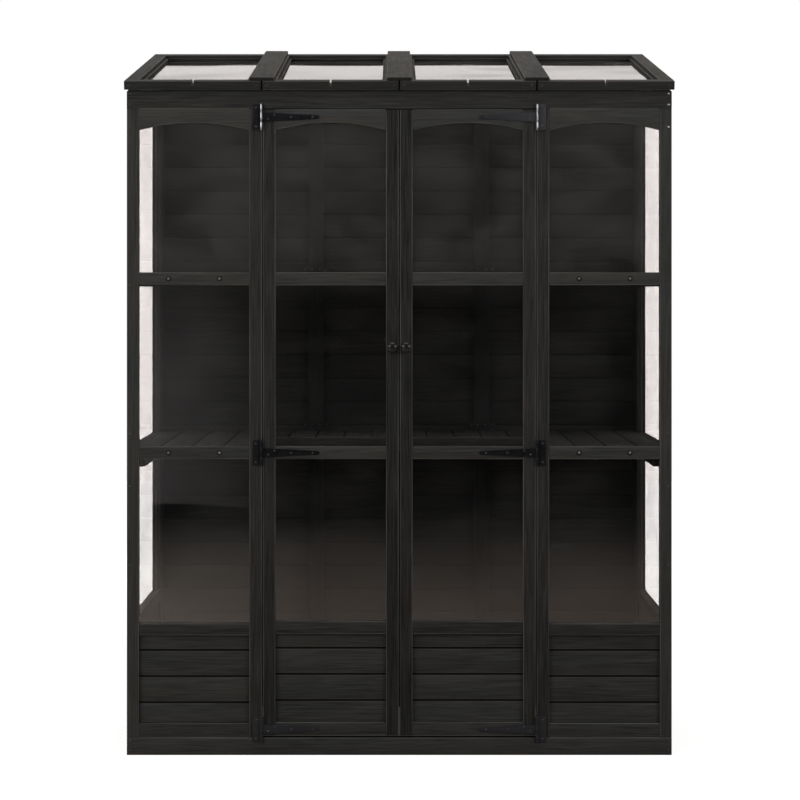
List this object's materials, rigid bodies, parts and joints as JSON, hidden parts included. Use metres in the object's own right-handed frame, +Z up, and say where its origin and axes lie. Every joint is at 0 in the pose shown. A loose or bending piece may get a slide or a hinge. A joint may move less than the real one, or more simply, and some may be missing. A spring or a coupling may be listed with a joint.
{
  "type": "mini greenhouse",
  "caption": "Tall glazed timber cabinet greenhouse with arched double doors, sloping roof with skylights, slatted and folding shelves.",
  "frame": {"origin": "on the ground, in the middle of the footprint's bounding box", "axes": "+Z up, +Y from the doors to the back wall, +X to the right of someone who faces the doors"},
  "size_m": [1.483, 0.7767, 1.9835],
  "materials": {
    "stained_wood": "charcoal black wood stain, grain showing",
    "clear_sheet": "clear plastic sheet, slightly wavy",
    "black_iron": "semi-gloss black coat",
    "black_knob": "gloss black",
    "zinc_plate": "bright zinc",
    "catch_plastic": "black moulded plastic"
  },
  "bodies": {
    "cabinet": {"back_boards": "stained_wood", "back_posts": "stained_wood", "back_rails": "stained_wood", "butt_hinge_leaves": "black_iron", "door_catches": "catch_plastic", "front_arch_rails": "stained_wood", "front_base_rail": "stained_wood", "front_rails": "stained_wood", "front_stiles": "stained_wood", "front_top_rail": "stained_wood", "roof_batten": "stained_wood", "roof_beads": "stained_wood", "roof_frames": "stained_wood", "roof_panes": "clear_sheet", "roof_rafters": "stained_wood", "shelf_bearers": "stained_wood", "side_rails": "stained_wood", "side_shelf_slats": "stained_wood", "side_stiles": "stained_wood", "skylight_keepers": "zinc_plate", "strap_hinge_pins": "black_iron", "strap_hinge_plates": "black_iron", "wall_beads": "stained_wood", "wall_boards": "stained_wood", "wall_panes": "clear_sheet"},
    "door_left": {"door_left_arch_rail": "stained_wood", "door_left_beads": "stained_wood", "door_left_boards": "stained_wood", "door_left_hinge_straps": "black_iron", "door_left_knob": "black_knob", "door_left_panes": "clear_sheet", "door_left_rails": "stained_wood", "door_left_stiles": "stained_wood", "door_left_strike": "zinc_plate"},
    "door_right": {"door_right_arch_rail": "stained_wood", "door_right_beads": "stained_wood", "door_right_boards": "stained_wood", "door_right_hinge_straps": "black_iron", "door_right_knob": "black_knob", "door_right_panes": "clear_sheet", "door_right_rails": "stained_wood", "door_right_stiles": "stained_wood", "door_right_strike": "zinc_plate"},
    "skylight_left": {"skylight_left_batten": "stained_wood", "skylight_left_beads": "stained_wood", "skylight_left_frame": "stained_wood", "skylight_left_hinge_leaves": "black_iron", "skylight_left_pane": "clear_sheet"},
    "skylight_right": {"skylight_right_batten": "stained_wood", "skylight_right_beads": "stained_wood", "skylight_right_frame": "stained_wood", "skylight_right_hinge_leaves": "black_iron", "skylight_right_pane": "clear_sheet"},
    "shelf_lower": {"shelf_lower_hinge_leaves": "black_iron", "shelf_lower_rails": "stained_wood", "shelf_lower_slats": "stained_wood"},
    "shelf_upper": {"shelf_upper_hinge_leaves": "black_iron", "shelf_upper_rails": "stained_wood", "shelf_upper_slats": "stained_wood"}
  },
  "joints": [
    {"name": "door_left_hinge", "type": "hinge", "parent": "cabinet", "child": "door_left", "pos_m": [-0.372, -0.36465, 0.816], "axis": [0, 0, -1], "range_deg": [0, 170]},
    {"name": "door_right_hinge", "type": "hinge", "parent": "cabinet", "child": "door_right", "pos_m": [0.372, -0.36465, 0.816], "axis": [0, 0, 1], "range_deg": [0, 170]},
    {"name": "skylight_left_hinge", "type": "hinge", "parent": "cabinet", "child": "skylight_left", "pos_m": [-0.556, 0.38515, 1.95102], "axis": [-1, 0, 0], "range_deg": [0, 60]},
    {"name": "skylight_right_hinge", "type": "hinge", "parent": "cabinet", "child": "skylight_right", "pos_m": [0.556, 0.38515, 1.95102], "axis": [-1, 0, 0], "range_deg": [0, 60]},
    {"name": "shelf_lower_fold", "type": "hinge", "parent": "cabinet", "child": "shelf_lower", "pos_m": [0, 0.31815, 0.8368], "axis": [-1, 0, 0], "range_deg": [0, 90]},
    {"name": "shelf_upper_fold", "type": "hinge", "parent": "cabinet", "child": "shelf_upper", "pos_m": [0, 0.31815, 1.3068], "axis": [-1, 0, 0], "range_deg": [0, 90]}
  ]
}
